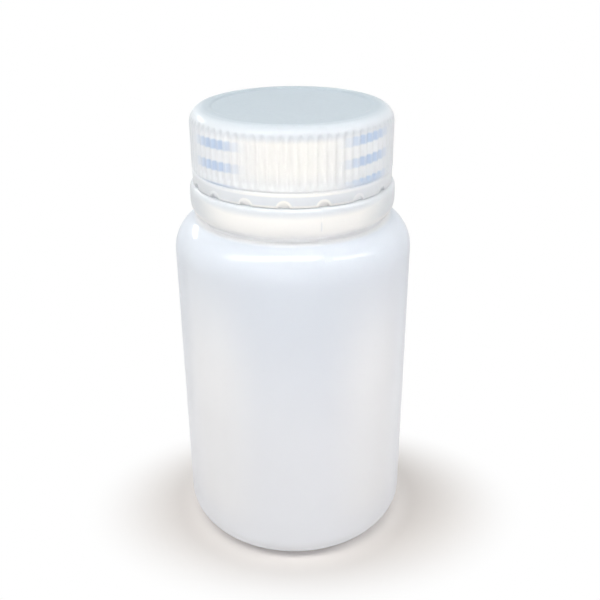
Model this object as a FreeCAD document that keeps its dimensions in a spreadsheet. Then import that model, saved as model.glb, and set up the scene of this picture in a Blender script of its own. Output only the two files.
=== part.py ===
"""Wide-mouth reagent bottle with a ribbed screw cap and a sealing disc.

Millimetres, +Z up, origin at the centre of the standing ring.
The bottle, the cap and the disc are bodies of revolution about +Z. The cap is
shown screwed down: its top presses the disc on to the mouth of the bottle.
"""
import FreeCAD, Part
import Sketcher
import math
import os

V = FreeCAD.Vector

# Driving sizes: alias, value, what it measures.
SIZES = [
    # blow-moulded bottle
    ("body_radius", 25.5, "outside radius of the straight wall"),
    ("wall", 1.3, "thickness of the wall, heel, shoulder and base"),
    ("heel_radius", 5.8, "outside rounding between wall and foot"),
    ("foot_width", 1.8, "flat width of the standing ring"),
    ("base_lift", 1.5, "height of the base above the standing ring"),
    ("base_slope", 2.5, "width of the slope from ring to base"),
    ("wall_height", 67.9, "height where the wall turns into the shoulder"),
    ("shoulder_radius", 7.8, "outside rounding of the shoulder"),
    ("neck_setback", 7.9, "how far the neck lies inside the straight wall"),
    ("neck_wall", 2.0, "thickness of the neck between threads"),
    ("waist_height", 0.8, "height of the waist below the collar"),
    ("collar_ledge", 2.2, "how far the waist stands out from the neck"),
    ("collar_bulge", 1.9, "how far the collar bead stands out from the waist"),
    ("collar_height", 6.5, "height of the collar bead"),
    ("finish_height", 12.5, "height of the neck from collar to mouth rim"),
    ("rim_rounding", 0.5, "rounding of both edges of the mouth rim"),
    # screw cap
    ("thread_height", 1.2, "height of the thread on the neck"),
    ("thread_clearance", 0.3, "room between neck thread and cap bore"),
    ("cap_wall", 1.4, "thickness of the smooth skirt of the cap"),
    ("cap_top", 1.8, "thickness of the cap's top"),
    ("cap_edge", 3.1, "rounding of the cap's top edge"),
    ("dish_margin", 1.1, "flat width between the rounded edge and the dish"),
    ("dish_depth", 0.3, "depth of the dish in the cap's top"),
    ("lead_in", 0.4, "bevel at the mouth of the cap's bore"),
    ("rib_height", 0.5, "how far the ribs stand out from the skirt"),
    ("rib_width", 0.58, "width of one rib at its crest"),
    ("rib_count", 72, "number of ribs round the cap"),
    ("flute_floor", 0.05, "skin left between a flute and the skirt"),
    ("skirt_height", 0.9, "height of the smooth skirt below the ribs"),
    ("band_height", 2.1, "height of the band round the skirt's edge"),
    ("band_step", 0.45, "how far the band stands out from the skirt"),
    ("notch_radius", 1.1, "radius of the arched notches in the edge"),
    ("notch_count", 17, "number of arched notches"),
    ("notch_turn", 4.1, "degrees from the front to the first notch, clockwise from above"),
    ("cap_gap", 0.4, "room between the cap's edge and the collar"),
    # sealing disc
    ("disc_height", 1.2, "thickness of the sealing disc"),
    ("disc_clearance", 0.5, "room between the disc and the cap's bore"),
    ("disc_bevel", 0.2, "bevel on both edges of the disc"),
]

doc = FreeCAD.newDocument("reagent_bottle")
sheet = doc.addObject("Spreadsheet::Sheet", "sizes")
for row, (alias, value, meaning) in enumerate(SIZES, start=1):
    sheet.set("A%d" % row, meaning)
    sheet.set("B%d" % row, str(value))
    sheet.setAlias("B%d" % row, alias)
doc.recompute()


class Dim:
    """A size with its present value and the sheet formula that gives it."""

    def __init__(self, value, text):
        self.value = float(value)
        self.text = text

    @staticmethod
    def of(other):
        return other if isinstance(other, Dim) else Dim(other, repr(other))

    def __add__(self, other):
        other = Dim.of(other)
        return Dim(self.value + other.value, "(%s + %s)" % (self.text, other.text))

    def __sub__(self, other):
        other = Dim.of(other)
        return Dim(self.value - other.value, "(%s - %s)" % (self.text, other.text))

    def __mul__(self, other):
        other = Dim.of(other)
        return Dim(self.value * other.value, "(%s * %s)" % (self.text, other.text))

    def __truediv__(self, other):
        other = Dim.of(other)
        return Dim(self.value / other.value, "(%s / %s)" % (self.text, other.text))

    def root(self):
        return Dim(math.sqrt(self.value), "sqrt(%s)" % self.text)


size = {alias: Dim(sheet.get(alias), "sizes." + alias) for alias, _, _ in SIZES}
AXIS = Dim(0.0, "0")


def arc_radius(chord, rise):
    """Radius of the arc that stands so high over such a chord."""
    half = chord / 2
    return (half * half + rise * rise) / (rise * 2)


# Radii that the pieces share, from the wall in to the mouth and out to the cap.
neck_radius = size["body_radius"] - size["neck_setback"]
mouth_radius = neck_radius - size["neck_wall"]
waist_radius = neck_radius + size["collar_ledge"]
cap_bore = neck_radius + size["thread_height"] + size["thread_clearance"]
skirt_radius = cap_bore + size["cap_wall"]
cap_radius = skirt_radius + size["rib_height"]

# Heights that the pieces share, from the table up.
shoulder_centre = size["body_radius"] - size["shoulder_radius"]
waist_reach = waist_radius - shoulder_centre
shoulder_rise = (
    size["shoulder_radius"] * size["shoulder_radius"] - waist_reach * waist_reach
).root()
shoulder_top = size["wall_height"] + shoulder_rise
collar_bottom = shoulder_top + size["waist_height"]
collar_top = collar_bottom + size["collar_height"]
mouth_rim = collar_top + size["finish_height"]
cap_bottom = collar_top + size["cap_gap"]
cap_ceiling = mouth_rim + size["disc_height"]
cap_summit = cap_ceiling + size["cap_top"]


def origin_plane(body, role):
    """One of the body's own origin planes."""
    for feature in body.Origin.OriginFeatures:
        if feature.Role == role:
            return feature
    raise RuntimeError("no origin feature " + role)


def new_sketch(body, name, role):
    sketch = body.newObject("Sketcher::SketchObject", name)
    sketch.AttachmentSupport = [(origin_plane(body, role), "")]
    sketch.MapMode = "FlatFace"
    return sketch


def hold(sketch, kind, geometry, point, dim):
    """Fix one coordinate of a sketch point to its formula."""
    if dim is AXIS:
        line = -2 if kind == "DistanceX" else -1
        sketch.addConstraint(Sketcher.Constraint("PointOnObject", geometry, point, line))
        return
    constraint = Sketcher.Constraint(kind, -1, 1, geometry, point, dim.value)
    index = sketch.addConstraint(constraint)
    sketch.setExpression("Constraints[%d]" % index, dim.text)


def arc_between(start, end, radius, left):
    """The short arc from start to end, with its centre to the left or right."""
    chord = end - start
    middle = (start + end) * 0.5
    rise = math.sqrt(max(radius * radius - (chord.Length / 2) ** 2, 0.0))
    side = V(-chord.y, chord.x, 0).normalize()
    centre = middle + side * (rise if left else -rise)
    first, last = (start, end) if left else (end, start)
    a = math.atan2(first.y - centre.y, first.x - centre.x)
    b = math.atan2(last.y - centre.y, last.x - centre.x)
    if b < a:
        b += 2 * math.pi
    return Part.ArcOfCircle(Part.Circle(centre, V(0, 0, 1), radius), a, b)


def section(body, name, corners):
    """Closed half-section: corners of (radius, height, edge to the next corner).

    An edge is None for a straight line, or the arc's radius and whether its
    centre lies to the left of the way.
    """
    sketch = new_sketch(body, name, "XZ_Plane")
    points = [V(r.value, z.value, 0) for r, z, _ in corners]
    ends = []
    for index, (_, _, edge) in enumerate(corners):
        start = points[index]
        end = points[(index + 1) % len(points)]
        if edge is None:
            made = sketch.addGeometry(Part.LineSegment(start, end), False)
            ends.append((made, 1, 2))
            continue
        radius, left = edge
        made = sketch.addGeometry(arc_between(start, end, radius.value, left), False)
        ends.append((made, 1, 2) if left else (made, 2, 1))
    for index, (made, _, last) in enumerate(ends):
        following, first, _ = ends[(index + 1) % len(ends)]
        sketch.addConstraint(Sketcher.Constraint("Coincident", made, last, following, first))
    for (r, z, edge), (made, first, _) in zip(corners, ends):
        hold(sketch, "DistanceX", made, first, r)
        hold(sketch, "DistanceY", made, first, z)
        if edge is not None:
            index = sketch.addConstraint(Sketcher.Constraint("Radius", made, edge[0].value))
            sketch.setExpression("Constraints[%d]" % index, edge[0].text)
    return sketch


def revolve(body, name, sketch):
    turned = body.newObject("PartDesign::Revolution", name)
    turned.Profile = sketch
    turned.ReferenceAxis = (sketch, ["V_Axis"])
    turned.Angle = 360.0
    sketch.Visibility = False
    return turned


def cut_through(body, name, sketch, along):
    """Pocket through everything on one side of its sketch."""
    before = body.Shape.Volume
    pocket = body.newObject("PartDesign::Pocket", name)
    pocket.Profile = sketch
    pocket.Type = "ThroughAll"
    if along is None:
        pocket.Reversed = True
    else:
        pocket.UseCustomVector = True
        pocket.Direction = along
    doc.recompute()
    if body.Shape.Volume >= before:
        raise RuntimeError(name + " cuts nothing")
    return pocket


def repeat_round(body, name, feature, count):
    pattern = body.newObject("PartDesign::PolarPattern", name)
    pattern.Originals = [feature]
    pattern.Axis = (origin_plane(body, "Z_Axis"), [""])
    pattern.Angle = 360.0
    pattern.setExpression("Occurrences", count.text)
    body.Tip = pattern
    return pattern


def make_bottle():
    """Thin shell from the recessed base to the mouth rim, one wall all round."""
    body = doc.addObject("PartDesign::Body", "bottle")
    body.Label = "bottle"
    wall = size["wall"]
    foot_outside = size["body_radius"] - size["heel_radius"]
    foot_inside = foot_outside - size["foot_width"]
    base_edge = foot_inside - size["base_slope"]
    inner_wall = size["body_radius"] - wall
    inner_heel = size["heel_radius"] - wall
    inner_shoulder = size["shoulder_radius"] - wall
    inner_top = size["wall_height"] + inner_shoulder
    throat = shoulder_centre - mouth_radius
    rim_edge = mouth_rim - size["rim_rounding"]
    bead = arc_radius(size["collar_height"], size["collar_bulge"])
    profile = section(body, "bottle_section", [
        (AXIS, size["base_lift"], None),
        (base_edge, size["base_lift"], None),
        (foot_inside, AXIS, None),
        (foot_outside, AXIS, (size["heel_radius"], True)),
        (size["body_radius"], size["heel_radius"], None),
        (size["body_radius"], size["wall_height"], (size["shoulder_radius"], True)),
        (waist_radius, shoulder_top, None),
        (waist_radius, collar_bottom, (bead, True)),
        (waist_radius, collar_top, None),
        (neck_radius, collar_top, None),
        (neck_radius, rim_edge, (size["rim_rounding"], True)),
        (neck_radius - size["rim_rounding"], mouth_rim, None),
        (mouth_radius + size["rim_rounding"], mouth_rim, (size["rim_rounding"], True)),
        (mouth_radius, rim_edge, None),
        (mouth_radius, inner_top + throat, (throat, True)),
        (shoulder_centre, inner_top, (inner_shoulder, False)),
        (inner_wall, size["wall_height"], None),
        (inner_wall, size["heel_radius"], (inner_heel, False)),
        (foot_outside, wall, None),
        (foot_inside, wall, None),
        (base_edge, size["base_lift"] + wall, None),
        (AXIS, size["base_lift"] + wall, None),
    ])
    revolve(body, "bottle_shell", profile)
    return body


def make_cap():
    """Cap with a rounded top edge, fluted side, plain skirt and notched edge."""
    body = doc.addObject("PartDesign::Body", "screw_cap")
    body.Label = "screw_cap"
    band = skirt_radius + size["band_step"]
    band_top = cap_bottom + size["band_height"]
    ribs_bottom = band_top + size["skirt_height"]
    flat_radius = cap_radius - size["cap_edge"]
    dish_radius = flat_radius - size["dish_margin"]
    dish_floor = cap_summit - size["dish_depth"]
    profile = section(body, "cap_section", [
        (AXIS, cap_ceiling, None),
        (cap_bore, cap_ceiling, None),
        (cap_bore, cap_bottom + size["lead_in"], None),
        (cap_bore + size["lead_in"], cap_bottom, None),
        (band, cap_bottom, None),
        (band, band_top - size["band_step"], None),
        (skirt_radius, band_top, None),
        (skirt_radius, ribs_bottom, None),
        (cap_radius, ribs_bottom + size["rib_height"], None),
        (cap_radius, cap_summit - size["cap_edge"], (size["cap_edge"], True)),
        (flat_radius, cap_summit, None),
        (dish_radius, cap_summit, None),
        (dish_radius - size["dish_depth"], dish_floor, None),
        (AXIS, dish_floor, None),
    ])
    revolve(body, "cap_shell", profile)
    doc.recompute()

    # One round-bottomed flute, open at the top through the rounded edge.
    rib_pitch = cap_radius * (2 * math.pi) / size["rib_count"]
    flute_depth = size["rib_height"] - size["flute_floor"]
    flute_round = arc_radius(rib_pitch - size["rib_width"], flute_depth)
    flute_centre = cap_radius - flute_depth + flute_round
    flute = new_sketch(body, "flute_circle", "XY_Plane")
    flute.setExpression("AttachmentOffset.Base.z", ribs_bottom.text)
    circle = flute.addGeometry(
        Part.Circle(V(flute_centre.value, 0, 0), V(0, 0, 1), flute_round.value), False
    )
    hold(flute, "DistanceX", circle, 3, flute_centre)
    hold(flute, "DistanceY", circle, 3, AXIS)
    index = flute.addConstraint(Sketcher.Constraint("Radius", circle, flute_round.value))
    flute.setExpression("Constraints[%d]" % index, flute_round.text)
    cut = cut_through(body, "flute", flute, V(0, 0, 1))
    repeat_round(body, "flutes", cut, size["rib_count"])
    doc.recompute()

    # One arched notch through the edge of the skirt, near the front.
    notch = new_sketch(body, "notch_circle", "XZ_Plane")
    turn = FreeCAD.Rotation(V(0, 1, 0), -size["notch_turn"].value)
    notch.AttachmentOffset = FreeCAD.Placement(V(0, 0, 0), turn)
    notch.setExpression("AttachmentOffset.Rotation.Angle", "-" + size["notch_turn"].text)
    circle = notch.addGeometry(
        Part.Circle(V(0, cap_bottom.value, 0), V(0, 0, 1), size["notch_radius"].value), False
    )
    hold(notch, "DistanceX", circle, 3, AXIS)
    hold(notch, "DistanceY", circle, 3, cap_bottom)
    index = notch.addConstraint(
        Sketcher.Constraint("Radius", circle, size["notch_radius"].value)
    )
    notch.setExpression("Constraints[%d]" % index, size["notch_radius"].text)
    arch = cut_through(body, "notch", notch, None)
    repeat_round(body, "notches", arch, size["notch_count"])
    return body


def make_disc():
    """Flat sealing disc between the mouth rim and the cap's top."""
    body = doc.addObject("PartDesign::Body", "sealing_disc")
    body.Label = "sealing_disc"
    edge = cap_bore - size["disc_clearance"]
    bevel = size["disc_bevel"]
    profile = section(body, "disc_section", [
        (AXIS, mouth_rim, None),
        (edge - bevel, mouth_rim, None),
        (edge, mouth_rim + bevel, None),
        (edge, cap_ceiling - bevel, None),
        (edge - bevel, cap_ceiling, None),
        (AXIS, cap_ceiling, None),
    ])
    revolve(body, "disc_plate", profile)
    return body


pieces = [make_bottle(), make_cap(), make_disc()]
doc.recompute()

for item in doc.Objects:
    if "Invalid" in item.State or "Error" in item.State:
        raise RuntimeError("%s did not build: %s" % (item.Name, item.State))
for piece in pieces:
    piece.Placement = FreeCAD.Placement(V(0, 0, 0), FreeCAD.Rotation())
    if piece.Shape.isNull() or not piece.Shape.isValid():
        raise RuntimeError(piece.Label + " has no valid shape")
    if len(piece.Shape.Solids) != 1:
        raise RuntimeError(piece.Label + " is not one solid")

os.makedirs("parts", exist_ok=True)
for piece in pieces:
    piece.Shape.exportStep("parts/%s.step" % piece.Label)
    box = piece.Shape.BoundBox
    print("%s: %.0f mm3, z %.2f to %.2f, radius %.2f" % (
        piece.Label, piece.Shape.Volume, box.ZMin, box.ZMax, box.XMax))
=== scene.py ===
"""Dresses a wide-mouth reagent bottle: milky shell, ribbed screw cap, threads, sealing disc."""
import math

import bmesh
import bpy
from bpy.props import FloatProperty, FloatVectorProperty, IntProperty, PointerProperty
from mathutils import Matrix, Quaternion, Vector


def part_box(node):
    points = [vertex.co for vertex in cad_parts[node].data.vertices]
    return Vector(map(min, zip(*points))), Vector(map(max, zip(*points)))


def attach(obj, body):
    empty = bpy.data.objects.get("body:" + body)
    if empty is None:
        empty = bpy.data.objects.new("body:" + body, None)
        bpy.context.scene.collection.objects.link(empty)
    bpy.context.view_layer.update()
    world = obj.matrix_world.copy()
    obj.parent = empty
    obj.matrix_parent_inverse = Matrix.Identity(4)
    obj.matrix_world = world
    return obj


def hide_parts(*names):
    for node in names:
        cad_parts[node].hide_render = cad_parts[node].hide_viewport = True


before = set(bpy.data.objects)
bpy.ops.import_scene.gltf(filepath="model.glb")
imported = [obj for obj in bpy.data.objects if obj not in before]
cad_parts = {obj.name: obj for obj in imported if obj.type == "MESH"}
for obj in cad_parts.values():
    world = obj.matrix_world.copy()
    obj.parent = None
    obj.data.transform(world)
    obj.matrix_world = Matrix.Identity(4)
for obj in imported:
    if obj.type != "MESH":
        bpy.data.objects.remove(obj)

bl_info = {
    "name": "Reagent Bottle",
    "version": (1, 0, 0),
    "blender": (4, 5, 0),
    "location": "3D View > Sidebar > Bottle",
    "description": "Builds a milky plastic reagent bottle with a ribbed screw cap",
    "category": "Object",
}

MM = 0.001
TURN = 2.0 * math.pi
EDGE_DROP = 0.36 * MM  # the cap's edge sits nearer the collar than the solid's running clearance
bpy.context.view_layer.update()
BOTTLE_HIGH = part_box("bottle")[1]
CAP_LOW, CAP_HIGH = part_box("screw_cap")
CAP_EDGE = CAP_LOW.z - EDGE_DROP
DISC_LOW, DISC_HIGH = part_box("sealing_disc")


def length(name, description, millimetres):
    """A length property, given in millimetres and kept in metres."""
    return FloatProperty(
        name=name, description=description, default=millimetres * MM,
        unit="LENGTH", precision=5,
    )


def colour(name, description, value):
    """A colour property with its default."""
    return FloatVectorProperty(
        name=name, description=description, default=value,
        size=3, subtype="COLOR", min=0.0, max=1.0,
    )


class BottleSizes(bpy.types.PropertyGroup):
    """Sizes of the blow-moulded bottle and of the threads."""

    wall: length("Wall", "Thickness of the blown wall", 1.3)
    heel: length("Heel", "Rounding between wall and foot", 5.8)
    foot: length("Foot", "Flat width of the standing ring", 1.8)
    base_lift: length("Base lift", "Height of the base above the ring", 1.5)
    base_slope: length("Base slope", "Width of the slope up to the base", 2.5)
    wall_height: length("Wall height", "Where the wall turns into the shoulder", 67.9)
    shoulder: length("Shoulder", "Rounding of the shoulder", 7.8)
    waist_height: length("Waist height", "Height of the waist below the collar", 0.8)
    waist: length("Waist", "Radius of the waist", 19.8)
    collar_bulge: length("Collar bulge", "How far the collar bead stands out", 1.9)
    collar_height: length("Collar height", "Height of the collar bead", 6.5)
    neck: length("Neck", "Radius of the neck between threads", 17.6)
    mouth: length("Mouth", "Radius of the mouth", 15.6)
    rim: length("Rim rounding", "Rounding of the mouth rim", 0.5)
    pitch: length("Thread pitch", "Rise of the thread in one turn", 4.23)
    thread: length("Thread height", "How far a thread stands out", 1.1)
    thread_width: length("Thread width", "Width of a thread's ridge", 1.7)
    thread_root: length("Thread root", "How deep a thread is rooted in its wall", 0.15)
    thread_start: length("Thread start", "Height of the neck's thread above the collar", 2.4)
    thread_turn: FloatProperty(
        name="Thread turn", description="Where the threads begin",
        default=math.radians(150.0), subtype="ANGLE",
    )
    seam: FloatProperty(
        name="Seam angle", description="Where the mould's parting line runs",
        default=math.radians(-74.8), subtype="ANGLE",
    )


class CapSizes(bpy.types.PropertyGroup):
    """Sizes of the screw cap."""

    bore: length("Bore", "Radius of the cap's bore", 19.1)
    lead_in: length("Lead-in", "Bevel at the mouth of the bore", 0.4)
    skirt: length("Skirt", "Radius of the groove between band and ribs", 20.72)
    crest: length("Rib crest", "Radius over the ribs", 21.0)
    top: length("Top", "Thickness of the cap's top", 1.8)
    edge: length("Edge", "Rounding of the top edge", 3.1)
    dish: length("Dish", "Radius of the sunk disc in the top", 16.8)
    dish_depth: length("Dish depth", "Depth of the sunk disc", 0.3)
    dish_slope: length("Dish slope", "Width of the slope into the sunk disc", 0.5)
    band: length("Band", "Radius of the band at the edge", 20.95)
    band_height: length("Band height", "Height of the band", 2.88)
    rib_start: length("Rib start", "Height where the ribs begin", 3.0)
    rib_width: length("Rib width", "Width of one rib at its crest", 0.58)
    rib_depth: length("Rib depth", "Depth of the flutes", 0.45)
    run_out: length("Run-out", "Height over which the flutes end below", 1.0)
    ribs: IntProperty(name="Ribs", description="Number of ribs", default=72, min=3)
    notch: length("Notch", "Radius of the arched notches", 1.1)
    notch_back: length("Notch back", "Wall left behind the notches", 1.55)
    notches: IntProperty(name="Notches", description="Number of notches", default=17, min=1)
    notch_turn: FloatProperty(
        name="Notch turn", description="Turn of the first notch",
        default=math.radians(-94.1), subtype="ANGLE",
    )


class Finishes(bpy.types.PropertyGroup):
    """Colours of the plastics and the floor."""

    # painted shade darkens the wall towards the shoulder, down from the paler lower wall
    bottle_high: colour("Bottle, upper", "Milky wall near the shoulder", (0.705, 0.76, 0.84))
    bottle_low: colour("Bottle, lower", "Thicker wall near the foot", (0.885, 0.915, 0.985))
    # painted light pales the sides of the wall
    bottle_side_light: colour("Bottle, sides", "Paler sides of the wall", (0.935, 0.955, 0.995))
    collar: colour("Collar", "Thick collar and neck", (0.955, 0.955, 0.935))
    # painted light on the waist, against the shade under the collar
    waist: colour("Waist", "Milky wall under the collar", (0.95, 0.965, 0.985))
    # painted shade on the collar's sides and on its rim under the cap; this colour also marks the
    # seam's nick
    collar_shade_and_seam: colour("Collar sides", "Thinner sides and rim of the collar", (0.71, 0.75, 0.79))
    cap: colour("Cap", "Milky plastic of the cap", (0.98, 0.98, 0.955))
    # painted shade on the cap: its sides, edges, band, top and the bluish windows between its
    # threads
    cap_side_shade: colour("Cap sides", "Thinner sides of the cap", (0.84, 0.875, 0.92))
    cap_edge_shade: colour("Cap edges", "Thin top edge and band of the cap", (0.76, 0.80, 0.845))
    cap_gap_shade: colour("Cap gaps", "Thin wall between the cap's threads", (0.52, 0.635, 0.80))
    cap_top_shade: colour("Cap top", "Thin dish of the cap's top", (0.43, 0.505, 0.56))
    disc: colour("Disc", "Sealing disc", (0.80, 0.81, 0.80))
    # painted shadow colour of the floor near the bottle, and painted light by the foot
    floor: colour("Floor", "Pale floor", (0.635, 0.605, 0.58))
    floor_foot_light: colour("Floor by the foot", "Floor lit through the foot", (0.88, 0.845, 0.815))


def settings():
    """The scene's three groups of settings."""
    scene = bpy.context.scene
    return scene.bottle_sizes, scene.cap_sizes, scene.bottle_finishes


# Shapes

def arc(centre, radius, start, end, steps):
    """Points on an arc in the section plane, angles in degrees from +radius."""
    points = []
    for step in range(steps + 1):
        angle = math.radians(start + (end - start) * step / steps)
        points.append((
            centre[0] + radius * math.cos(angle),
            centre[1] + radius * math.sin(angle),
        ))
    return points


def spaced(points, gap):
    """Adds points along straight runs so that none is longer than the gap."""
    filled = [points[0]]
    for here, there in zip(points, points[1:]):
        run = math.dist(here, there)
        count = max(1, math.ceil(run / gap))
        for step in range(1, count + 1):
            share = step / count
            filled.append((
                here[0] + (there[0] - here[0]) * share,
                here[1] + (there[1] - here[1]) * share,
            ))
    return filled


def fillet(points, radius, steps=4):
    """Rounds each corner of a section a little, as a mould does."""
    least_turn = math.radians(12.0)
    most_of_run = 0.45
    rounded = [points[0]]
    for before, corner, after in zip(points, points[1:], points[2:]):
        a = Vector(before) - Vector(corner)
        b = Vector(after) - Vector(corner)
        turn = math.pi - a.angle(b, math.pi)
        if turn < least_turn:
            rounded.append(corner)
            continue
        cut = min(radius, most_of_run * a.length, most_of_run * b.length)
        first = Vector(corner) + a.normalized() * cut
        last = Vector(corner) + b.normalized() * cut
        for step in range(steps + 1):
            t = step / steps
            point = first * (1 - t) ** 2 + Vector(corner) * 2 * t * (1 - t) + last * t ** 2
            rounded.append(tuple(point))
    rounded.append(points[-1])
    return rounded


def lathe(name, section, columns):
    """Turns a half-section about +Z into a mesh; ends on the axis become poles."""
    on_axis = 1e-7
    mesh = bpy.data.meshes.new(name)
    made = bmesh.new()
    rings = []
    for radius, height in section:
        if radius < on_axis:
            rings.append([made.verts.new((0.0, 0.0, height))])
            continue
        ring = []
        for column in range(columns):
            angle = TURN * column / columns
            ring.append(made.verts.new((
                radius * math.cos(angle), radius * math.sin(angle), height,
            )))
        rings.append(ring)
    for low, high in zip(rings, rings[1:]):
        for column in range(columns):
            after = (column + 1) % columns
            corners = [low[column % len(low)], low[after % len(low)],
                       high[after % len(high)], high[column % len(high)]]
            unique = list(dict.fromkeys(corners))
            if len(unique) > 2:
                made.faces.new(unique)
    bmesh.ops.recalc_face_normals(made, faces=made.faces)
    made.to_mesh(mesh)
    made.free()
    return mesh


def add_piece(name, mesh, material, sharp=35.0):
    """Puts a finished mesh in the scene, smooth but for its sharp edges."""
    piece = bpy.data.objects.new(name, mesh)
    bpy.context.scene.collection.objects.link(piece)
    mesh.materials.clear()
    mesh.materials.append(material)
    mesh.polygons.foreach_set("use_smooth", [True] * len(mesh.polygons))
    mesh.set_sharp_from_angle(angle=math.radians(sharp))
    return piece


# Node helpers

class Sums:
    """Adds Math nodes to a tree; each call returns the result's socket."""

    def __init__(self, tree):
        self.tree = tree

    def give(self, socket, value):
        """Links a socket to another, or sets it to a number."""
        if isinstance(value, (int, float)):
            socket.default_value = value
        else:
            self.tree.links.new(value, socket)

    def __call__(self, operation, *values):
        node = self.tree.nodes.new("ShaderNodeMath")
        node.operation = operation
        for socket, value in zip(node.inputs, values):
            self.give(socket, value)
        return node.outputs[0]

    def between(self, value, low, high):
        """0 below low, 1 above high, smooth in between."""
        node = self.tree.nodes.new("ShaderNodeMapRange")
        node.interpolation_type = "SMOOTHSTEP"
        for name, given in (("Value", value), ("From Min", low), ("From Max", high)):
            self.give(node.inputs[name], given)
        return node.outputs["Result"]

    def fading(self, value, low, high):
        """1 below low, 0 above high, smooth in between."""
        return self("SUBTRACT", 1.0, self.between(value, low, high))

    def product(self, first, *others):
        """All the values multiplied."""
        for other in others:
            first = self("MULTIPLY", first, other)
        return first

    def square(self, value):
        """The value times itself."""
        return self("MULTIPLY", value, value)

    def diagonal(self, a, b):
        """Length of the diagonal over two sides."""
        return self("SQRT", self("ADD", self.square(a), self.square(b)))

    def half_chord(self, radius, off):
        """Half the chord of a circle at a distance from its centre, 0 outside it."""
        squared = self("SUBTRACT", self.square(radius), self.square(off))
        return self("SQRT", self("MAXIMUM", squared, 0.0))


def new_geometry_tree(name, inputs):
    """An empty geometry tree with named inputs, and its two end nodes."""
    tree = bpy.data.node_groups.new(name, "GeometryNodeTree")
    tree.interface.new_socket("Geometry", in_out="INPUT", socket_type="NodeSocketGeometry")
    for label, kind in inputs:
        tree.interface.new_socket(label, in_out="INPUT", socket_type="NodeSocket" + kind)
    tree.interface.new_socket("Geometry", in_out="OUTPUT", socket_type="NodeSocketGeometry")
    return tree, tree.nodes.new("NodeGroupInput"), tree.nodes.new("NodeGroupOutput")


def close_tree(tree, given, result, geometry):
    """Ends a tree in Realize Instances and Set Material."""
    realize = tree.nodes.new("GeometryNodeRealizeInstances")
    paint = tree.nodes.new("GeometryNodeSetMaterial")
    tree.links.new(geometry, realize.inputs["Geometry"])
    tree.links.new(realize.outputs["Geometry"], paint.inputs["Geometry"])
    tree.links.new(given.outputs["Material"], paint.inputs["Material"])
    tree.links.new(paint.outputs["Geometry"], result.inputs["Geometry"])


def grown(name, mesh, tree, values):
    """Runs a geometry tree over a mesh once and returns the plain mesh it gives."""
    seed = bpy.data.objects.new(name + "_seed", mesh)
    bpy.context.scene.collection.objects.link(seed)
    modifier = seed.modifiers.new("Shape", "NODES")
    modifier.node_group = tree
    for item in tree.interface.items_tree:
        if item.item_type == "SOCKET" and item.in_out == "INPUT" and item.name in values:
            modifier[item.identifier] = values[item.name]
    bpy.context.view_layer.update()
    graph = bpy.context.evaluated_depsgraph_get()
    result = bpy.data.meshes.new_from_object(seed.evaluated_get(graph))
    seed.modifiers.remove(modifier)
    bpy.data.objects.remove(seed)
    result.name = name
    return result


# Materials

def span(low, high):
    """A range given in millimetres and kept in metres."""
    return low * MM, high * MM


# Heights on the bottle over which its look changes: painted light and shade, and the parting line
WALL_SHADE_RISES = span(22.0, 74.0)
SIDE_LIGHT_BEGINS = span(4.0, 16.0)
SIDE_LIGHT_ENDS = span(40.0, 75.0)
SEAM_RISES = span(68.0, 76.0)
WAIST_LIGHT_BEGINS = span(74.75, 75.3)
WAIST_LIGHT_ENDS = span(75.6, 78.0)
COLLAR_SIDE_SHADE_RISES = span(77.0, 78.5)
NICK_BEGINS = span(77.9, 78.3)
NICK_ENDS = span(79.7, 80.2)
COLLAR_RIM_SHADE_BEGINS = span(80.4, 82.0)

# Heights on the cap over which its painted shade changes
LOWER_RIBS_BEGIN = span(85.2, 85.8)
LOWER_RIBS_END = span(85.5, 90.5)
WINDOW_SHADE_BEGINS = span(85.3, 86.1)
WINDOW_SHADE_ENDS = span(95.2, 96.2)
TOP_EDGE_SHADE_BEGINS = span(94.8, 96.4)

# Angles from the front or the back over which the painted light and shade change, in radians
WALL_SIDE_LIGHT_BEGINS = (0.2, 0.7)
WALL_SIDE_LIGHT_ENDS = (0.8, 1.3)
COLLAR_SIDE_SHADE_BEGINS = (0.55, 1.15)
CAP_SIDE_SHADE_BEGINS = (0.1, 0.9)
CAP_FAR_SHADE_BEGINS = (0.85, 1.25)
WINDOW_SHADE_SIDE_BEGINS = (0.40, 0.80)
WINDOW_SHADE_SIDE_ENDS = (0.85, 1.2)

# Sockets of a Mix node that mixes colours
MIX_SHARE, MIX_FIRST, MIX_SECOND, MIX_RESULT = 0, 6, 7, 2

COAT_ROUGHNESS = 0.025
SLANT_GLOSS = 0.1  # gloss that is left where the skin is seen at a slant


def haze_group():
    """Slow cloudiness of a moulded wall: a shade, a roughness and a fine height."""
    tree = bpy.data.node_groups.new("Moulded haze", "ShaderNodeTree")
    for label in ("Cloud size", "Grain size"):
        tree.interface.new_socket(label, in_out="INPUT", socket_type="NodeSocketFloat")
    for label in ("Shade", "Roughness", "Height"):
        tree.interface.new_socket(label, in_out="OUTPUT", socket_type="NodeSocketFloat")
    given = tree.nodes.new("NodeGroupInput")
    result = tree.nodes.new("NodeGroupOutput")
    place = tree.nodes.new("ShaderNodeTexCoord")
    cloud = tree.nodes.new("ShaderNodeTexNoise")
    grain = tree.nodes.new("ShaderNodeTexNoise")
    cloud.inputs["Detail"].default_value = 2.0
    grain.inputs["Detail"].default_value = 3.0
    sums = Sums(tree)
    for noise, label in ((cloud, "Cloud size"), (grain, "Grain size")):
        tree.links.new(place.outputs["Object"], noise.inputs["Vector"])
        tree.links.new(sums("DIVIDE", 1.0, given.outputs[label]), noise.inputs["Scale"])
    shade_range, least_shade = 0.05, 0.975
    rough_range, least_rough = 0.16, 0.24
    shade = sums("MULTIPLY_ADD", cloud.outputs["Fac"], shade_range, least_shade)
    rough = sums("MULTIPLY_ADD", grain.outputs["Fac"], rough_range, least_rough)
    tree.links.new(shade, result.inputs["Shade"])
    tree.links.new(rough, result.inputs["Roughness"])
    tree.links.new(grain.outputs["Fac"], result.inputs["Height"])
    return tree


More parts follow.
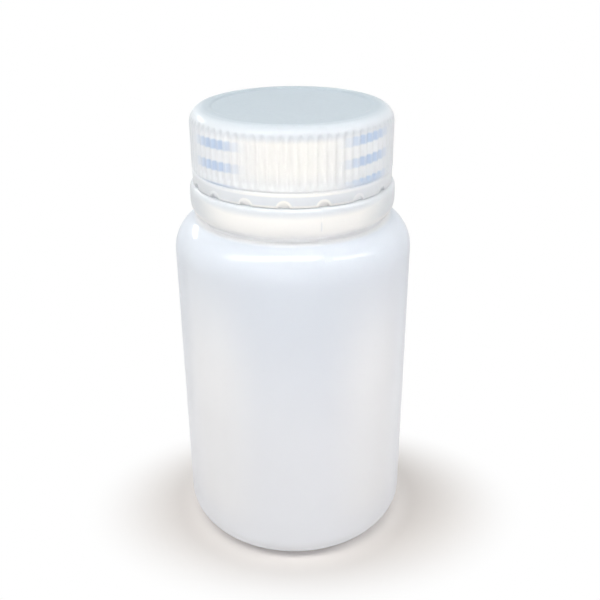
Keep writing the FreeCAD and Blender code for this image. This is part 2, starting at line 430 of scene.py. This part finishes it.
def new_material(name, cloud_size, grain_size):
    """A material with its shader, haze group, object place and sums."""
    material = bpy.data.materials.new(name)
    material.use_nodes = True
    tree = material.node_tree
    shader = tree.nodes["Principled BSDF"]
    cloud = tree.nodes.new("ShaderNodeGroup")
    cloud.node_tree = bpy.data.node_groups.get("Moulded haze") or haze_group()
    cloud.inputs["Cloud size"].default_value = cloud_size
    cloud.inputs["Grain size"].default_value = grain_size
    place = tree.nodes.new("ShaderNodeTexCoord")
    split = tree.nodes.new("ShaderNodeSeparateXYZ")
    tree.links.new(place.outputs["Object"], split.inputs[0])
    return material, tree, shader, cloud, split.outputs, Sums(tree)


def mixed(tree, share, first, second, blend="MIX"):
    """Mixes two colours; each is a socket or an RGB value."""
    node = tree.nodes.new("ShaderNodeMix")
    node.data_type = "RGBA"
    node.blend_type = blend
    for index, value in ((MIX_SHARE, share), (MIX_FIRST, first), (MIX_SECOND, second)):
        socket = node.inputs[index]
        if isinstance(value, bpy.types.NodeSocket):
            tree.links.new(value, socket)
        elif isinstance(value, (int, float)):
            socket.default_value = value
        else:
            socket.default_value = (*value, 1.0)
    return node.outputs[MIX_RESULT]


def painted(tree, shader, base, shade, roughness):
    """Gives a shader its clouded colour and its roughness."""
    tree.links.new(mixed(tree, 1.0, base, shade, "MULTIPLY"), shader.inputs["Base Color"])
    tree.links.new(roughness, shader.inputs["Roughness"])


def bumped(tree, shader, height, distance, strength):
    """Gives a shader a fine relief."""
    bump = tree.nodes.new("ShaderNodeBump")
    bump.inputs["Distance"].default_value = distance
    bump.inputs["Strength"].default_value = strength
    tree.links.new(height, bump.inputs["Height"])
    tree.links.new(bump.outputs["Normal"], shader.inputs["Normal"])


def milky_shader(tree, shader, gloss):
    """Natural, translucent polyolefin whose moulded skin loses its gloss at a slant."""
    for name, value in (
            ("IOR", 1.5), ("Specular IOR Level", 0.08), ("Transmission Weight", 0.10),
            ("Subsurface Weight", 0.3), ("Subsurface Scale", 2.5 * MM),
            ("Subsurface Radius", (1.0, 1.0, 1.0)), ("Coat Roughness", COAT_ROUGHNESS)):
        shader.inputs[name].default_value = value
    slant = tree.nodes.new("ShaderNodeLayerWeight")
    sums = Sums(tree)
    dull = sums.between(slant.outputs["Facing"], 0.50, 0.75)
    coat = sums("MULTIPLY_ADD", dull, SLANT_GLOSS - gloss, gloss)
    tree.links.new(coat, shader.inputs["Coat Weight"])


def off_front(sums, angle):
    """Angle from the front or the back, whichever is nearer."""
    ahead = sums("ABSOLUTE", sums("WRAP", sums("ADD", angle, 0.5 * math.pi), math.pi, -math.pi))
    return sums("MINIMUM", ahead, sums("SUBTRACT", math.pi, ahead))


def bottle_plastic(finishes, sizes):
    """Milky blown wall with a parting line: bluish above, greyer below; painted shade darkens it
    towards the shoulder and on the collar's sides and rim, and painted light pales its sides and
    the waist.
    """
    material, tree, shader, cloud, place, sums = new_material("milky_wall", 22 * MM, 1.1 * MM)
    height = place["Z"]
    aside = off_front(sums, sums("ARCTAN2", place["Y"], place["X"]))
    # painted shade darkens the wall towards the shoulder
    base = mixed(tree, sums.between(height, *WALL_SHADE_RISES), finishes.bottle_low, finishes.bottle_high)
    # painted light pales the sides of the wall, away from the front and the back
    paler = sums.product(
        sums.between(aside, *WALL_SIDE_LIGHT_BEGINS), sums.fading(aside, *WALL_SIDE_LIGHT_ENDS),
        sums.between(height, *SIDE_LIGHT_BEGINS), sums.fading(height, *SIDE_LIGHT_ENDS))
    base = mixed(tree, paler, base, finishes.bottle_side_light)

    # collar: pale in front; painted shade darkens its sides and its rim under the cap, and painted
    # light pales the waist under it
    collar_side_shade = sums.product(
        sums.between(aside, *COLLAR_SIDE_SHADE_BEGINS), sums.between(height, *COLLAR_SIDE_SHADE_RISES))
    darker = sums("MAXIMUM", collar_side_shade, sums.between(height, *COLLAR_RIM_SHADE_BEGINS))
    ring = mixed(tree, darker, finishes.collar, finishes.collar_shade_and_seam)
    # painted light pales the waist and the top of the shoulder under the collar
    ring = mixed(tree, sums.between(height, *WAIST_LIGHT_ENDS), finishes.waist, ring)
    base = mixed(tree, sums.between(height, *WAIST_LIGHT_BEGINS), base, ring)

    # parting line: raised on the shoulder, and a short nick on the collar
    nick_share = 0.5
    across = sums("ADD",
                  sums("MULTIPLY", place["X"], -math.sin(sizes.seam)),
                  sums("MULTIPLY", place["Y"], math.cos(sizes.seam)))
    seam = sums.fading(sums("ABSOLUTE", across), *span(0.05, 0.2))
    nick = sums.product(
        seam, sums.between(height, *NICK_BEGINS), sums.fading(height, *NICK_ENDS), nick_share)
    base = mixed(tree, nick, base, finishes.collar_shade_and_seam)
    painted(tree, shader, base, cloud.outputs["Shade"], cloud.outputs["Roughness"])
    grain_share = 0.12
    ridge = sums("MULTIPLY", seam, sums.between(height, *SEAM_RISES))
    relief = sums("ADD", sums("MULTIPLY", cloud.outputs["Height"], grain_share), ridge)
    bumped(tree, shader, relief, 0.05 * MM, 0.5)
    milky_shader(tree, shader, gloss=1.0)
    return material


def cap_plastic(finishes, sizes, cap):
    """Milky cap: paler over its threads and ribs; painted shade greys its sides, band and top and
    turns bluish where the wall between the threads is thin.
    """
    material, tree, shader, cloud, place, sums = new_material("milky_cap", 9 * MM, 0.8 * MM)
    height = place["Z"]
    angle = sums("ARCTAN2", place["Y"], place["X"])
    aside = off_front(sums, angle)
    reach = sums.diagonal(place["X"], place["Y"])

    # cream in front; painted shade greys the sides and the lower ribs
    lower_share = 0.6
    base = mixed(tree, sums.between(aside, *CAP_SIDE_SHADE_BEGINS), finishes.cap, finishes.cap_side_shade)
    lower = sums.product(
        sums.between(height, *LOWER_RIBS_BEGIN), sums.fading(height, *LOWER_RIBS_END), lower_share)
    cap_shade = sums("MAXIMUM", lower, sums.between(aside, *CAP_FAR_SHADE_BEGINS))
    base = mixed(tree, cap_shade, base, finishes.cap_edge_shade)

    # painted shade greys the band and the rounding of the top edge; the arches and the lower edge
    # stay pale as painted highlights
    band_share, top_share = 0.95, 0.16
    band_top = CAP_EDGE + cap.band_height
    marks = sums("MULTIPLY", sums("SUBTRACT", angle, cap.notch_turn), cap.notches / TURN)
    step = TURN * cap.band / cap.notches
    along = sums("MULTIPLY", sums("SUBTRACT", marks, sums("ROUND", marks)), step)
    rise = sums("SUBTRACT", height, CAP_EDGE)
    off_arch = sums.between(
        sums.diagonal(along, rise), cap.notch + 0.3 * MM, cap.notch + 0.6 * MM)
    off_edge = sums.between(rise, *span(0.3, 0.6))
    band = sums.product(
        sums.fading(height, band_top - 0.9 * MM, band_top - 0.45 * MM),
        band_share, off_arch, off_edge)
    rounding = sums.between(height, *TOP_EDGE_SHADE_BEGINS)
    base = mixed(tree, sums("MAXIMUM", band, rounding), base, finishes.cap_edge_shade)
    base = mixed(tree, sums("MULTIPLY", rounding, top_share), base, finishes.cap_top_shade)

    # bluish windows of painted shade where the wall between the threads is thin, only towards the
    # sides, stronger in the flutes than on the ribs
    thread_phase = 0.985
    window_half = (0.15, 0.28)
    flute_share, rib_share = 0.25, 0.85
    turns = sums("SUBTRACT", sums("DIVIDE", height, sizes.pitch), sums("DIVIDE", angle, TURN))
    phase = sums("FRACT", sums("ADD", turns, thread_phase))
    off_window = sums("ABSOLUTE", sums("SUBTRACT", phase, 0.5))
    in_flute = sums.fading(reach, cap.crest - 0.2 * MM, cap.crest)
    window_shade = sums.product(
        sums.fading(off_window, *window_half),
        sums.between(aside, *WINDOW_SHADE_SIDE_BEGINS), sums.fading(aside, *WINDOW_SHADE_SIDE_ENDS),
        sums.between(height, *WINDOW_SHADE_BEGINS), sums.fading(height, *WINDOW_SHADE_ENDS),
        sums("MULTIPLY_ADD", in_flute, flute_share, rib_share))
    base = mixed(tree, window_shade, base, finishes.cap_gap_shade)

    # painted shade on the thin dish in the top, which is satin so that no lamp is mirrored in it
    top_roughness = 0.35
    dish_low = CAP_HIGH.z - cap.dish_depth
    shaded_dish = sums.product(
        sums.between(height, dish_low - 2.6 * MM, dish_low - 0.8 * MM),
        sums.fading(reach, cap.dish + 0.6 * MM, cap.crest))
    base = mixed(tree, shaded_dish, base, finishes.cap_top_shade)
    painted(tree, shader, base, cloud.outputs["Shade"], cloud.outputs["Roughness"])
    bumped(tree, shader, cloud.outputs["Height"], 0.02 * MM, 0.15)
    milky_shader(tree, shader, gloss=0.6)
    satin = sums("MULTIPLY_ADD", shaded_dish, top_roughness, COAT_ROUGHNESS)
    tree.links.new(satin, shader.inputs["Coat Roughness"])
    return material


def disc_foam(finishes):
    """Matt white sealing disc with a fine foamed skin."""
    more_roughness = 0.35
    material, tree, shader, cloud, _, sums = new_material("white_foam", 5 * MM, 0.35 * MM)
    rough = sums("ADD", cloud.outputs["Roughness"], more_roughness)
    painted(tree, shader, finishes.disc, cloud.outputs["Shade"], rough)
    bumped(tree, shader, cloud.outputs["Height"], 0.05 * MM, 0.5)
    return material


def material_named(name, make, *given):
    """The material of that name, made at its first use."""
    return bpy.data.materials.get(name) or make(*given)


# Threads

def thread_tree():
    """A ridge that winds up a neck or a bore and runs out at both ends."""
    tree, given, result = new_geometry_tree("Thread", [
        ("Turns", "Float"), ("Radius", "Float"), ("Rise", "Float"), ("Start", "Float"),
        ("Turned", "Float"), ("Ridge", "Float"), ("Width", "Float"), ("Material", "Material"),
    ])
    links = tree.links
    sums = Sums(tree)
    values = given.outputs
    spiral = tree.nodes.new("GeometryNodeCurveSpiral")
    spiral.inputs["Resolution"].default_value = 96
    links.new(values["Turns"], spiral.inputs["Rotations"])
    links.new(values["Radius"], spiral.inputs["Start Radius"])
    links.new(values["Radius"], spiral.inputs["End Radius"])
    links.new(sums("MULTIPLY", values["Turns"], values["Rise"]), spiral.inputs["Height"])
    place = tree.nodes.new("GeometryNodeTransform")
    up = tree.nodes.new("ShaderNodeCombineXYZ")
    about = tree.nodes.new("ShaderNodeCombineXYZ")
    links.new(values["Start"], up.inputs["Z"])
    links.new(values["Turned"], about.inputs["Z"])
    links.new(spiral.outputs["Curve"], place.inputs["Geometry"])
    links.new(up.outputs[0], place.inputs["Translation"])
    links.new(about.outputs[0], place.inputs["Rotation"])

    # the ridge swells over a share of its length at each end
    swell_share, least_swell = 0.07, 0.12
    along = tree.nodes.new("GeometryNodeSplineParameter").outputs["Factor"]
    near_end = sums("MINIMUM", along, sums("SUBTRACT", 1.0, along))
    swell = sums("MAXIMUM", sums.between(near_end, 0.0, swell_share), least_swell)
    size = tree.nodes.new("GeometryNodeSetCurveRadius")
    links.new(place.outputs["Geometry"], size.inputs["Curve"])
    links.new(swell, size.inputs["Radius"])
    upright = tree.nodes.new("GeometryNodeSetCurveNormal")
    upright.mode = "Z_UP"
    links.new(size.outputs["Curve"], upright.inputs["Curve"])
    ring = tree.nodes.new("GeometryNodeCurvePrimitiveCircle")
    ring.inputs["Resolution"].default_value = 12
    ring.inputs["Radius"].default_value = 1.0
    shape = tree.nodes.new("GeometryNodeTransform")
    scale = tree.nodes.new("ShaderNodeCombineXYZ")
    links.new(values["Ridge"], scale.inputs["X"])
    links.new(sums("MULTIPLY", values["Width"], 0.5), scale.inputs["Y"])
    scale.inputs["Z"].default_value = 1.0
    links.new(ring.outputs["Curve"], shape.inputs["Geometry"])
    links.new(scale.outputs[0], shape.inputs["Scale"])
    sweep = tree.nodes.new("GeometryNodeCurveToMesh")
    sweep.inputs["Fill Caps"].default_value = True
    links.new(upright.outputs["Curve"], sweep.inputs["Curve"])
    links.new(shape.outputs["Geometry"], sweep.inputs["Profile Curve"])
    radius = tree.nodes.new("GeometryNodeInputRadius")
    links.new(radius.outputs[0], sweep.inputs["Scale"])
    close_tree(tree, given, result, sweep.outputs["Mesh"])
    return tree


def thread_mesh(name, material, sizes, turns, radius, start):
    """The plain mesh of one thread."""
    tree = bpy.data.node_groups.get("Thread") or thread_tree()
    return grown(name, bpy.data.meshes.new(name + "_empty"), tree, {
        "Turns": turns, "Radius": radius, "Rise": sizes.pitch, "Start": start,
        "Turned": sizes.thread_turn, "Ridge": sizes.thread + sizes.thread_root,
        "Width": sizes.thread_width, "Material": material,
    })


# The three pieces

def collar_bead(sizes, low):
    """Outline of the collar bead, squarer above its middle than below."""
    steps = 40
    power_below, power_above = 0.9, 0.5
    half = sizes.collar_height / 2
    bead = []
    for step in range(steps + 1):
        angle = math.radians(-90.0 + 180.0 * step / steps)
        power = power_below if angle < 0 else power_above
        out = sizes.collar_bulge * abs(math.cos(angle)) ** power
        up = half * math.copysign(abs(math.sin(angle)) ** power, angle)
        bead.append((sizes.waist + out, low + half + up))
    return bead


def bottle_section(sizes):
    """Half-section of the shell, from the base's underside to its inside."""
    corner = 0.45 * MM
    body = BOTTLE_HIGH.x
    wall = sizes.wall
    foot_out = body - sizes.heel
    foot_in = foot_out - sizes.foot
    base_edge = foot_in - sizes.base_slope
    centre = body - sizes.shoulder
    reach = sizes.waist - centre
    shoulder_top = sizes.wall_height + math.sqrt(sizes.shoulder ** 2 - reach ** 2)
    shoulder_end = math.degrees(math.acos(reach / sizes.shoulder))
    bead_low = shoulder_top + sizes.waist_height
    bead_high = bead_low + sizes.collar_height
    rim = BOTTLE_HIGH.z
    inner = sizes.shoulder - wall
    throat = centre - sizes.mouth
    throat_centre = (centre, sizes.wall_height + inner + throat)
    outside = [(0.0, sizes.base_lift), (base_edge, sizes.base_lift), (foot_in, 0.0)]
    outside += arc((foot_out, sizes.heel), sizes.heel, -90, 0, 20)
    outside += arc((centre, sizes.wall_height), sizes.shoulder, 0, shoulder_end, 28)
    outside += collar_bead(sizes, bead_low)
    outside += [(sizes.neck, bead_high)]
    outside += arc((sizes.neck - sizes.rim, rim - sizes.rim), sizes.rim, 0, 90, 6)
    inside = arc((sizes.mouth + sizes.rim, rim - sizes.rim), sizes.rim, 90, 180, 6)
    inside += arc(throat_centre, throat, 180, 270, 8)
    inside += arc((centre, sizes.wall_height), inner, 90, 0, 16)
    inside += arc((foot_out, sizes.heel), sizes.heel - wall, 0, -90, 12)
    inside += [(foot_in, wall), (base_edge, sizes.base_lift + wall), (0.0, sizes.base_lift + wall)]
    return fillet(outside, corner) + fillet(inside, corner), bead_high


def cap_section(cap):
    """Half-section of the cap before its ribs and notches are pressed in."""
    corner = 0.15 * MM
    dish_corner = 0.4 * MM
    ring_gap = 0.45 * MM
    low = CAP_EDGE
    summit = CAP_HIGH.z
    ceiling = summit - cap.top
    ribs = low + cap.rib_start
    rise = cap.crest - cap.skirt
    band_top = low + cap.band_height
    flat = cap.crest - cap.edge
    halfway = 0.5 * (low + ceiling)
    roof = fillet([(0.0, ceiling), (cap.bore, ceiling), (cap.bore, halfway)], corner, 3)
    side = fillet([
        (cap.bore, halfway), (cap.bore, low + cap.lead_in), (cap.bore + cap.lead_in, low),
        (cap.band, low), (cap.band, band_top - (cap.band - cap.skirt)), (cap.skirt, band_top),
        (cap.skirt, ribs), (cap.crest, ribs + rise),
    ], corner, 3)
    edge = arc((flat, summit - cap.edge), cap.edge, 0, 90, 22)
    dish_floor = summit - cap.dish_depth
    dish = fillet([
        (flat, summit), (cap.dish, summit), (cap.dish - cap.dish_slope, dish_floor),
        (0.0, dish_floor),
    ], dish_corner, 3)
    outer = spaced(side + edge[:1], ring_gap)
    return roof[:-1] + outer + edge[1:] + dish[1:]


def cap_tree():
    """Presses flutes into the cap's side and arches into its lower edge."""
    tiny = 1e-6
    tree, given, result = new_geometry_tree("Cap ribs", [
        ("Ribs", "Int"), ("Rib Width", "Float"), ("Rib Depth", "Float"), ("Crest", "Float"),
        ("Rib Bottom", "Float"), ("Run Out", "Float"), ("Bore", "Float"), ("Notches", "Int"),
        ("Notch", "Float"), ("Notch Back", "Float"), ("Notch Turn", "Float"), ("Edge", "Float"),
        ("Material", "Material"),
    ])
    links = tree.links
    sums = Sums(tree)
    values = given.outputs
    place = tree.nodes.new("GeometryNodeInputPosition")
    split = tree.nodes.new("ShaderNodeSeparateXYZ")
    links.new(place.outputs[0], split.inputs[0])
    x, y, z = split.outputs
    angle = sums("ARCTAN2", y, x)
    reach = sums.diagonal(x, y)

    def from_centre(count, turned):
        """Distance along the side from the nearest of so many marks."""
        marks = sums("MULTIPLY", sums("DIVIDE", sums("SUBTRACT", angle, turned), TURN), count)
        share = sums("SUBTRACT", marks, sums("ROUND", marks))
        step = sums("DIVIDE", sums("MULTIPLY", values["Crest"], TURN), count)
        return sums("MULTIPLY", share, step), step

    # flutes: round-bottomed, running out through the rounded top edge and above the groove
    bore_skin = 0.5 * MM
    run_out_slope = 0.5
    along, step = from_centre(values["Ribs"], 0.0)
    half = sums("MULTIPLY", sums("SUBTRACT", step, values["Rib Width"]), 0.5)
    round_off = sums("DIVIDE",
                     sums("ADD", sums.square(half), sums.square(values["Rib Depth"])),
                     sums("MULTIPLY", values["Rib Depth"], 2.0))
    deepest = sums("SUBTRACT", values["Crest"], values["Rib Depth"])
    floor = sums("SUBTRACT", sums("ADD", deepest, round_off), sums.half_chord(round_off, along))
    run_out_top = sums("ADD", values["Rib Bottom"], values["Run Out"])
    below = sums("MAXIMUM", sums("SUBTRACT", run_out_top, z), 0.0)
    fluted = sums("MINIMUM", reach, sums("ADD", floor, sums("MULTIPLY", below, run_out_slope)))
    inside = sums("LESS_THAN", reach, sums("ADD", values["Bore"], bore_skin))
    new_reach = sums("ADD", sums("MULTIPLY", inside, reach),
                     sums("MULTIPLY", sums("SUBTRACT", 1.0, inside), fluted))
    scale = sums("DIVIDE", new_reach, sums("MAXIMUM", reach, tiny))

    # arches: the edge lifts over each half-round notch
    along, _ = from_centre(values["Notches"], values["Notch Turn"])
    lift = sums("ADD", values["Edge"], sums.half_chord(values["Notch"], along))
    outer = sums("GREATER_THAN", reach, sums("ADD", values["Bore"], values["Notch Back"]))
    new_z = sums("MAXIMUM", z, sums("MULTIPLY", lift, outer))

    move = tree.nodes.new("GeometryNodeSetPosition")
    spot = tree.nodes.new("ShaderNodeCombineXYZ")
    links.new(sums("MULTIPLY", x, scale), spot.inputs["X"])
    links.new(sums("MULTIPLY", y, scale), spot.inputs["Y"])
    links.new(new_z, spot.inputs["Z"])
    links.new(values["Geometry"], move.inputs["Geometry"])
    links.new(spot.outputs[0], move.inputs["Position"])
    merge = tree.nodes.new("GeometryNodeMergeByDistance")
    merge.inputs["Distance"].default_value = tiny
    links.new(move.outputs["Geometry"], merge.inputs["Geometry"])
    close_tree(tree, given, result, merge.outputs["Geometry"])
    return tree


class BOTTLE_OT_shell(bpy.types.Operator):
    """Make the blown bottle and the thread on its neck"""
    bl_idname = "bottle.shell"
    bl_label = "Bottle"

    def execute(self, context):
        sizes, _, finishes = settings()
        material = material_named("milky_wall", bottle_plastic, finishes, sizes)
        section, bead_high = bottle_section(sizes)
        mesh = lathe("bottle_shell", section, columns=192)
        shell = add_piece("bottle_shell", mesh, material)
        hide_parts("bottle")
        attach(shell, "bottle")
        mesh = thread_mesh("neck_thread", material, sizes, turns=1.8,
                           radius=sizes.neck - sizes.thread_root,
                           start=bead_high + sizes.thread_start)
        thread = add_piece("neck_thread", mesh, material)
        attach(thread, "bottle")
        return {"FINISHED"}


class BOTTLE_OT_cap(bpy.types.Operator):
    """Make the ribbed cap and the thread in its bore"""
    bl_idname = "bottle.cap"
    bl_label = "Screw cap"

    def execute(self, context):
        sizes, cap, finishes = settings()
        columns_per_rib = 10
        material = material_named("milky_cap", cap_plastic, finishes, sizes, cap)
        mesh = lathe("screw_cap_blank", cap_section(cap), cap.ribs * columns_per_rib)
        tree = bpy.data.node_groups.get("Cap ribs") or cap_tree()
        mesh = grown("screw_cap_skin", mesh, tree, {
            "Ribs": cap.ribs, "Rib Width": cap.rib_width, "Rib Depth": cap.rib_depth,
            "Crest": cap.crest, "Rib Bottom": CAP_LOW.z + cap.rib_start, "Run Out": cap.run_out,
            "Bore": cap.bore, "Notches": cap.notches, "Notch": cap.notch,
            "Notch Back": cap.notch_back, "Notch Turn": cap.notch_turn, "Edge": CAP_EDGE,
            "Material": material,
        })
        skin = add_piece("screw_cap_skin", mesh, material, sharp=40.0)
        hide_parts("screw_cap")
        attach(skin, "cap")
        mesh = thread_mesh("cap_thread", material, sizes, turns=1.5,
                           radius=cap.bore + sizes.thread_root,
                           start=CAP_LOW.z + sizes.thread_start + 0.5 * sizes.pitch)
        thread = add_piece("cap_thread", mesh, material)
        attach(thread, "cap")
        return {"FINISHED"}


class BOTTLE_OT_disc(bpy.types.Operator):
    """Make the sealing disc under the cap's top"""
    bl_idname = "bottle.disc"
    bl_label = "Sealing disc"

    def execute(self, context):
        _, _, finishes = settings()
        material = material_named("white_foam", disc_foam, finishes)
        edge = DISC_HIGH.x
        bevel = 0.2 * MM
        corner = 0.1 * MM
        section = [(0.0, DISC_LOW.z), (edge - bevel, DISC_LOW.z), (edge, DISC_LOW.z + bevel),
                   (edge, DISC_HIGH.z - bevel), (edge - bevel, DISC_HIGH.z), (0.0, DISC_HIGH.z)]
        mesh = lathe("sealing_disc_face", fillet(section, corner, 3), columns=160)
        disc = add_piece("sealing_disc_face", mesh, material)
        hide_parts("sealing_disc")
        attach(disc, "seal")
        return {"FINISHED"}


# Stage: places and sizes in metres, power in watts, angles in degrees

FLOOR_SIDE = 1.5
SHADE_MIDDLE = (0.0022, -0.004)
SHADE_SQUASH = 1.5
SHADE_ENDS = (0.026, 0.055)
FOOT_LIGHT_ENDS = (0.022, 0.030)

ROOM_LEVEL = 0.73
ROOM_FALL = -0.40  # the room is darker to the left and right

WHITE = (1.0, 0.99, 0.97)
COOL = (0.96, 0.98, 1.0)
MIDDLE = (0.0, 0.0, 0.06)
FOOT = (0.0, 0.0, 0.024)
BROW = (0.0, 0.0, 0.103)

# Name, place, aim, width, depth, power, turn; a lamp without an aim looks straight down
TUBES = (
    ("tube_left", (-0.25, -0.21, 0.55), None, 0.84, 0.14, 2.0, 0.0),
    ("tube_right", (0.60, -0.14, 0.55), None, 0.60, 0.09, 1.20, 22.0),
    ("thin_left", (-0.33, -0.60, 0.55), None, 0.44, 0.08, 0.26, 0.0),
    ("thin_right", (0.48, -0.56, 0.55), None, 0.28, 0.08, 0.16, 0.0),
    ("rear_left", (-0.40, 0.41, 0.31), MIDDLE, 0.22, 0.07, 0.26, 0.0),
    ("rear_top", (0.03, 0.27, 0.55), MIDDLE, 0.45, 0.05, 0.30, 0.0),
)
# Weak fills that gloss doesn't show: name, place, aim, power, tint, spread
FILL_SIDE = 0.10
FILLS = (
    ("low_left", (-0.48, -0.42, 0.07), FOOT, 0.0018, COOL, 9.0),
    ("low_right", (0.48, -0.42, 0.07), FOOT, 0.0033, COOL, 9.0),
    ("cap_front", (0.0, -0.60, 0.36), BROW, 0.0094, WHITE, 8.0),
)

EYE = (0.00145, -0.1695, 0.1339)
EYE_PITCH = 25.3
EYE_ROLL = -0.36
LENS_MM = 49.55
SENSOR_MM = 36.0


def seen_straight(tree):
    """1 for rays that show the background in view, in gloss or through plastic."""
    path = tree.nodes.new("ShaderNodeLightPath")
    sums = Sums(tree)
    seen = sums("MAXIMUM", path.outputs["Is Camera Ray"], path.outputs["Is Transmission Ray"])
    return sums("MAXIMUM", seen, path.outputs["Is Glossy Ray"])


def floor_material(finishes):
    """Pale floor that keeps the shadow near the bottle, deepened there by a painted shadow colour
    with painted light by the foot, and is white far from it.
    """
    material = bpy.data.materials.new("pale_floor")
    material.use_nodes = True
    tree = material.node_tree
    shader = tree.nodes["Principled BSDF"]
    shader.inputs["Roughness"].default_value = 0.9
    shader.inputs["Specular IOR Level"].default_value = 0.0
    sums = Sums(tree)
    place = tree.nodes.new("ShaderNodeTexCoord")
    split = tree.nodes.new("ShaderNodeSeparateXYZ")
    tree.links.new(place.outputs["Object"], split.inputs[0])
    x, y, _ = split.outputs
    # painted light on the floor by the foot
    near = sums.fading(sums.diagonal(x, y), *FOOT_LIGHT_ENDS)
    base = mixed(tree, near, finishes.floor, finishes.floor_foot_light)
    tree.links.new(base, shader.inputs["Base Color"])
    white = tree.nodes.new("ShaderNodeEmission")
    tree.links.new(seen_straight(tree), white.inputs["Strength"])
    # the painted shadow colour fades to white between these ends
    wide = sums("SUBTRACT", x, SHADE_MIDDLE[0])
    deep = sums("MULTIPLY", sums("SUBTRACT", y, SHADE_MIDDLE[1]), SHADE_SQUASH)
    far = sums.between(sums.diagonal(wide, deep), *SHADE_ENDS)
    path = tree.nodes.new("ShaderNodeLightPath")
    far = sums("MULTIPLY", far, sums("SUBTRACT", 1.0, path.outputs["Is Diffuse Ray"]))
    mix = tree.nodes.new("ShaderNodeMixShader")
    tree.links.new(far, mix.inputs[0])
    tree.links.new(shader.outputs[0], mix.inputs[1])
    tree.links.new(white.outputs[0], mix.inputs[2])
    tree.links.new(mix.outputs[0], tree.nodes["Material Output"].inputs["Surface"])
    return material


def add_floor(scene, finishes):
    """A wide flat floor under the bottle."""
    side = FLOOR_SIDE
    mesh = bpy.data.meshes.new("floor")
    mesh.from_pydata([(-side, -side, 0), (side, -side, 0), (side, side, 0), (-side, side, 0)],
                     [], [(0, 1, 2, 3)])
    floor = bpy.data.objects.new("floor", mesh)
    mesh.materials.append(floor_material(finishes))
    scene.collection.objects.link(floor)


def add_room(scene):
    """White to the eye, in gloss and through plastic, and a softer light on the object."""
    world = bpy.data.worlds.new("studio")
    scene.world = world
    world.use_nodes = True
    tree = world.node_tree
    sky = tree.nodes["Background"]
    sky.inputs["Color"].default_value = (1.0, 1.0, 1.0, 1.0)
    way = tree.nodes.new("ShaderNodeTexCoord")
    split = tree.nodes.new("ShaderNodeSeparateXYZ")
    tree.links.new(way.outputs["Generated"], split.inputs[0])
    sums = Sums(tree)
    room = sums("MULTIPLY_ADD", sums.square(split.outputs["X"]), ROOM_FALL, ROOM_LEVEL)
    tree.links.new(sums("MAXIMUM", seen_straight(tree), room), sky.inputs["Strength"])


def add_lamp(scene, name, place, aim, width, depth, power, tint, turn=0.0):
    """A rectangular lamp, turned about its own line of sight."""
    lamp = bpy.data.lights.new(name, "AREA")
    lamp.shape = "RECTANGLE"
    lamp.size = width
    lamp.size_y = depth
    lamp.energy = power
    lamp.color = tint
    held = bpy.data.objects.new(name, lamp)
    held.location = place
    aimed = (Vector(aim) - Vector(place)).to_track_quat("-Z", "Y")
    held.rotation_euler = (aimed @ Quaternion((0.0, 0.0, 1.0), math.radians(turn))).to_euler()
    scene.collection.objects.link(held)
    return held


def add_lamps(scene):
    """The lamps that gloss shows, and the weak fills that it doesn't."""
    for name, place, aim, width, depth, power, turn in TUBES:
        straight_down = (place[0], place[1], 0.0)
        add_lamp(scene, name, place, aim or straight_down, width, depth, power, WHITE, turn)
    for name, place, aim, power, tint, spread in FILLS:
        fill = add_lamp(scene, name, place, aim, FILL_SIDE, FILL_SIDE, power, tint)
        fill.visible_glossy = False
        fill.data.spread = math.radians(spread)


def add_camera(scene):
    """The photo's point of view."""
    lens = bpy.data.cameras.new("camera")
    lens.sensor_width = SENSOR_MM
    lens.lens = LENS_MM
    eye = bpy.data.objects.new("camera", lens)
    view = Matrix.Rotation(math.radians(90.0 - EYE_PITCH), 4, "X")
    roll = Matrix.Rotation(math.radians(EYE_ROLL), 4, "Z")
    eye.matrix_world = Matrix.Translation(EYE) @ view @ roll
    scene.collection.objects.link(eye)
    scene.camera = eye


class BOTTLE_OT_stage(bpy.types.Operator):
    """Set the floor, the soft lights and the camera"""
    bl_idname = "bottle.stage"
    bl_label = "Stage"

    def execute(self, context):
        _, _, finishes = settings()
        scene = context.scene
        scene.view_settings.view_transform = "Standard"
        add_floor(scene, finishes)
        add_room(scene)
        add_lamps(scene)
        add_camera(scene)
        return {"FINISHED"}


class BOTTLE_PT_panel(bpy.types.Panel):
    """Lists the bottle's pieces and sizes"""
    bl_idname = "BOTTLE_PT_panel"
    bl_label = "Reagent Bottle"
    bl_space_type = "VIEW_3D"
    bl_region_type = "UI"
    bl_category = "Bottle"

    def draw(self, context):
        layout = self.layout
        for operator in (BOTTLE_OT_stage, BOTTLE_OT_shell, BOTTLE_OT_cap, BOTTLE_OT_disc):
            layout.operator(operator.bl_idname)
        for group in settings():
            box = layout.box()
            for name in group.__annotations__:
                box.prop(group, name)


CLASSES = (
    BottleSizes, CapSizes, Finishes,
    BOTTLE_OT_stage, BOTTLE_OT_shell, BOTTLE_OT_cap, BOTTLE_OT_disc, BOTTLE_PT_panel,
)


def register():
    for made in CLASSES:
        bpy.utils.register_class(made)
    bpy.types.Scene.bottle_sizes = PointerProperty(type=BottleSizes)
    bpy.types.Scene.cap_sizes = PointerProperty(type=CapSizes)
    bpy.types.Scene.bottle_finishes = PointerProperty(type=Finishes)


def unregister():
    del bpy.types.Scene.bottle_finishes
    del bpy.types.Scene.cap_sizes
    del bpy.types.Scene.bottle_sizes
    for made in reversed(CLASSES):
        bpy.utils.unregister_class(made)


def main():
    register()
    bpy.ops.bottle.stage()
    bpy.ops.bottle.shell()
    bpy.ops.bottle.cap()
    bpy.ops.bottle.disc()


if __name__ == "__main__":
    main()
